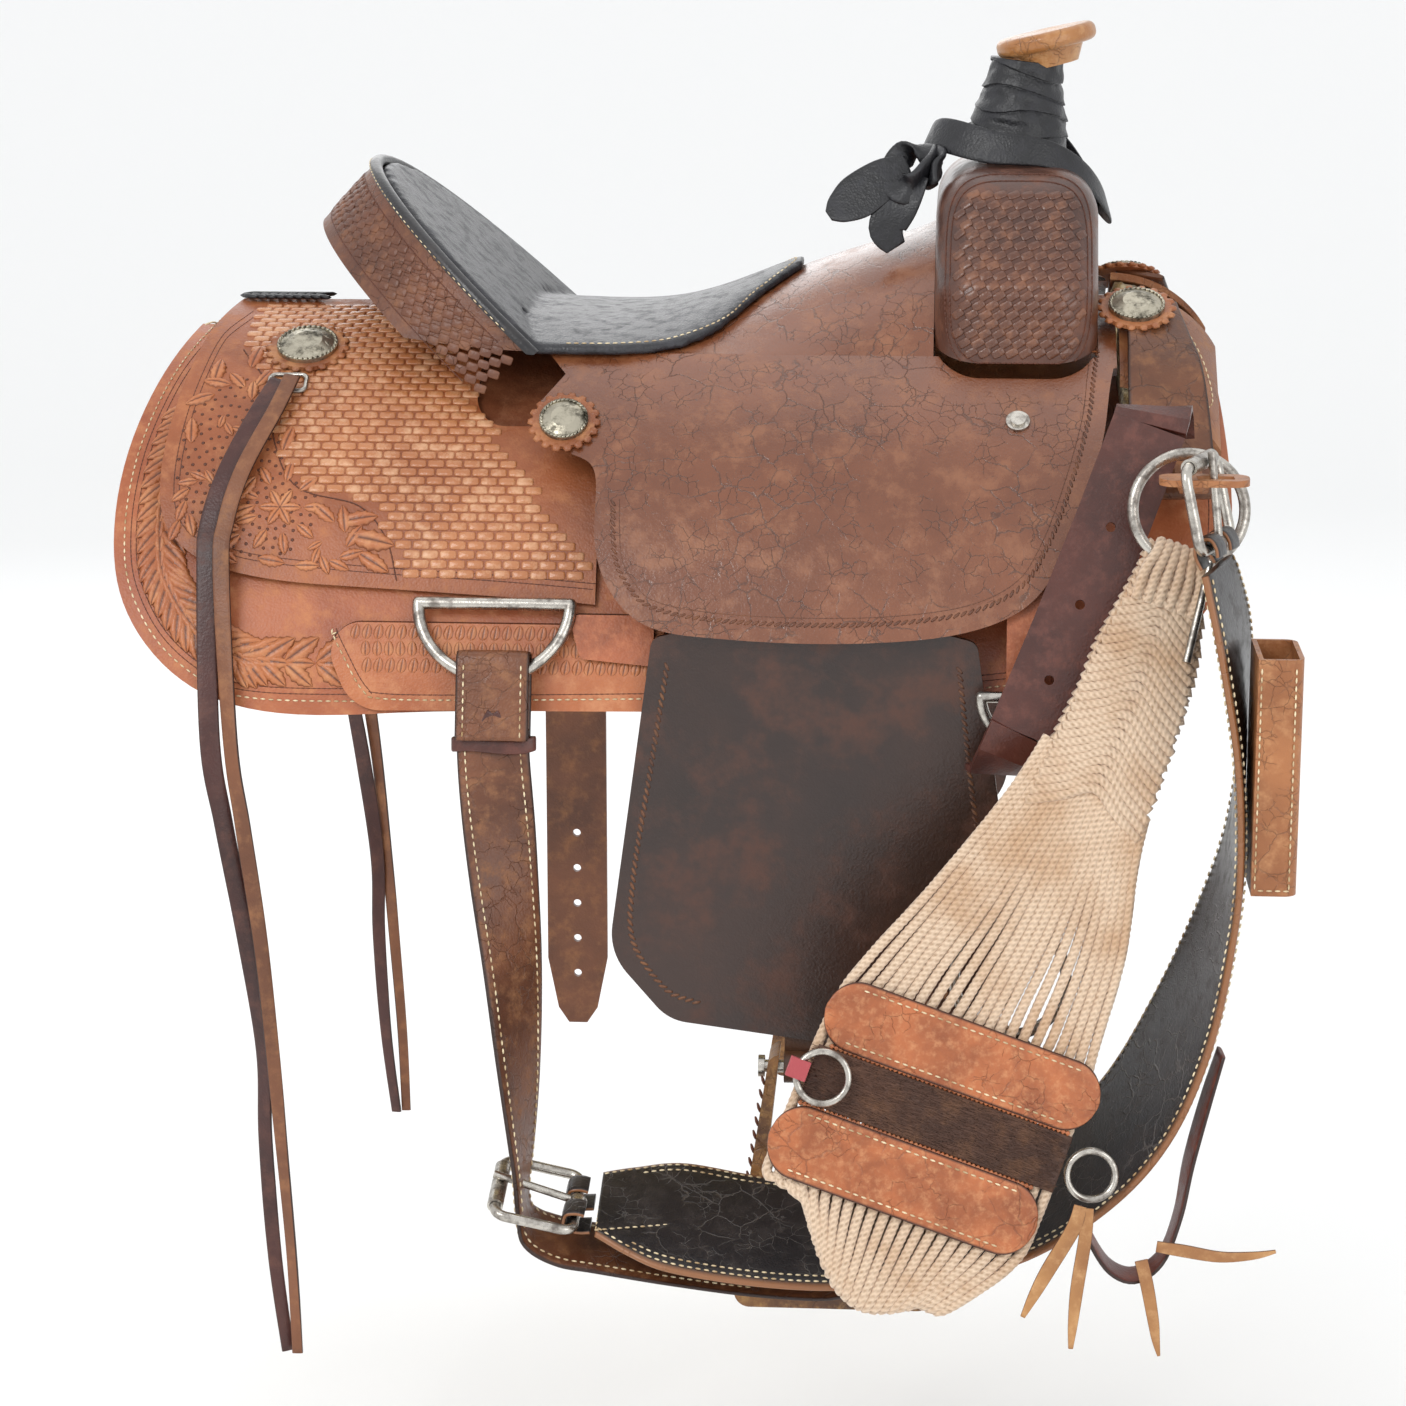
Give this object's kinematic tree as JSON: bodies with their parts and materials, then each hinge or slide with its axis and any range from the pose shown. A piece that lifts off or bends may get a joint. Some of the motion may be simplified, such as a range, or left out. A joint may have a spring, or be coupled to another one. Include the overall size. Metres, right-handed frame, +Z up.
{
  "type": "western roping saddle",
  "caption": "Western roping saddle with tooled skirts, wrapped horn, fenders, stirrups, flank cinch and a corded front cinch hung on its off side.",
  "frame": {"origin": "underside of the fleece on the centre line, the ridge that a rack carries", "axes": "+X towards the horn, +Y towards the near (left) side, +Z up"},
  "size_m": [0.7425, 0.6628, 0.849],
  "materials": {
    "russet_leather": "tooled, oiled, light wear on the high spots",
    "brown_leather": "smooth, polished by use, fine cracks",
    "dark_leather": "smooth, dark oiled",
    "black_leather": "soft seat leather, satin",
    "tan_leather": "worn, scuffed",
    "latigo_leather": "supple, burgundy brown",
    "sheepskin": "short wool pile",
    "tree_wood": "rawhide covered wood",
    "strainer_metal": "galvanised sheet",
    "rawhide": "hard polished rawhide",
    "black_rubber": "stretched inner tube, dusty",
    "nickel": "nickel plate, lightly tarnished",
    "antique_silver": "engraved, darkened in the low parts",
    "stirrup_rawhide": "rawhide covered wood, worn",
    "mohair_cord": "twisted mohair cord",
    "hair_on_hide": "short dense hair",
    "red_tape": "woven tape"
  },
  "bodies": {
    "saddle": {"skirt_right": "russet_leather", "skirt_left": "russet_leather", "rear_jockey_right": "russet_leather", "rear_jockey_left": "russet_leather", "rigging_plates": "russet_leather", "rigging_tabs": "russet_leather", "front_rigging": "russet_leather", "front_jockeys": "brown_leather", "latigo_holders": "brown_leather", "fleece": "sheepskin", "tree_bars": "tree_wood", "tree_fork": "tree_wood", "tree_cantle": "tree_wood", "ground_seat": "strainer_metal", "seat_leather": "brown_leather", "seat_pad": "black_leather", "cantle_back": "brown_leather", "cantle_roll": "black_leather", "fork_cover": "brown_leather", "jockey_lace": "black_leather", "horn": "rawhide", "horn_wrap": "black_rubber", "horn_band": "black_rubber", "rear_dees": "nickel", "front_dees": "nickel", "string_dees": "nickel", "jockey_screws": "nickel", "conchos": "antique_silver", "rosettes": "russet_leather", "off_billet": "latigo_leather", "latigo_left": "latigo_leather", "carrier_strap": "tan_leather"},
    "fender_right": {"fender_right": "dark_leather", "stirrup_leather_right": "dark_leather", "stirrup_bolt_right": "nickel"},
    "stirrup_right": {"stirrup_right": "stirrup_rawhide"},
    "fender_left": {"fender_left": "dark_leather", "stirrup_leather_left": "dark_leather", "stirrup_bolt_left": "nickel"},
    "stirrup_left": {"stirrup_left": "stirrup_rawhide"},
    "flank": {"flank_cinch": "dark_leather", "flank_buckle_frames": "nickel", "flank_buckle_tongues": "nickel", "flank_keeper": "tan_leather", "rear_billet_right": "brown_leather", "connector_strap": "latigo_leather"},
    "front_roller": {"front_buckle_roller": "nickel"},
    "rear_roller": {"rear_buckle_roller": "nickel"},
    "front_cinch": {"cinch_cords": "mohair_cord", "cinch_weave": "mohair_cord", "cinch_end_rings": "nickel", "cinch_patches": "tan_leather", "cinch_hair_band": "hair_on_hide", "cinch_tape": "red_tape", "cinch_side_ring_right": "nickel"},
    "side_ring": {"cinch_side_ring_left": "nickel"},
    "billet_left": {"rear_billet_left": "brown_leather"},
    "strings_right": {"saddle_strings_right": "latigo_leather"},
    "strings_left": {"saddle_strings_left": "latigo_leather"}
  },
  "joints": [
    {"name": "fender_right_swing", "type": "hinge", "parent": "saddle", "child": "fender_right", "pos_m": [0.105, -0.212, -0.088], "axis": [0, 1, 0], "range_deg": [-12, 12]},
    {"name": "stirrup_right_tilt", "type": "hinge", "parent": "fender_right", "child": "stirrup_right", "pos_m": [0.121, -0.2285, -0.424], "axis": [1, 0, 0], "range_deg": [0, 25]},
    {"name": "fender_left_swing", "type": "hinge", "parent": "saddle", "child": "fender_left", "pos_m": [0.105, 0.212, -0.088], "axis": [0, 1, 0], "range_deg": [-12, 12]},
    {"name": "stirrup_left_tilt", "type": "hinge", "parent": "fender_left", "child": "stirrup_left", "pos_m": [0.121, 0.2285, -0.424], "axis": [1, 0, 0], "range_deg": [-25, 25]},
    {"name": "flank_swing", "type": "hinge", "parent": "saddle", "child": "flank", "pos_m": [-0.097, -0.23, -0.1724], "axis": [-0.9365, 0.1521, -0.3159], "range_deg": [0, 8]},
    {"name": "front_roller_spin", "type": "hinge", "parent": "flank", "child": "front_roller", "pos_m": [0.33471, -0.29803, -0.02065], "axis": [0.3489, 0.9371, 0], "continuous": true},
    {"name": "rear_roller_spin", "type": "hinge", "parent": "flank", "child": "rear_roller", "pos_m": [-0.0863, -0.3043, -0.48127], "axis": [0, 0.9755, 0.2201], "continuous": true},
    {"name": "front_cinch_swing", "type": "hinge", "parent": "flank", "child": "front_cinch", "pos_m": [0.332, -0.247, -0.029], "axis": [-1, 0, 0], "range_deg": [0, 10]},
    {"name": "side_ring_lift", "type": "hinge", "parent": "front_cinch", "child": "side_ring", "pos_m": [0.10279, -0.37039, -0.37727], "axis": [-0.3281, -0.2662, -0.9064], "range_deg": [0, 30]},
    {"name": "billet_left_swing", "type": "hinge", "parent": "saddle", "child": "billet_left", "pos_m": [-0.095, 0.23, -0.1724], "axis": [1, 0, 0], "range_deg": [0, 8]},
    {"name": "strings_right_swing", "type": "hinge", "parent": "saddle", "child": "strings_right", "pos_m": [-0.243, -0.10872, -0.00548], "axis": [-1, 0, 0], "range_deg": [0, 20]},
    {"name": "strings_left_swing", "type": "hinge", "parent": "saddle", "child": "strings_left", "pos_m": [-0.243, 0.10872, -0.00548], "axis": [1, 0, 0], "range_deg": [0, 20]}
  ]
}
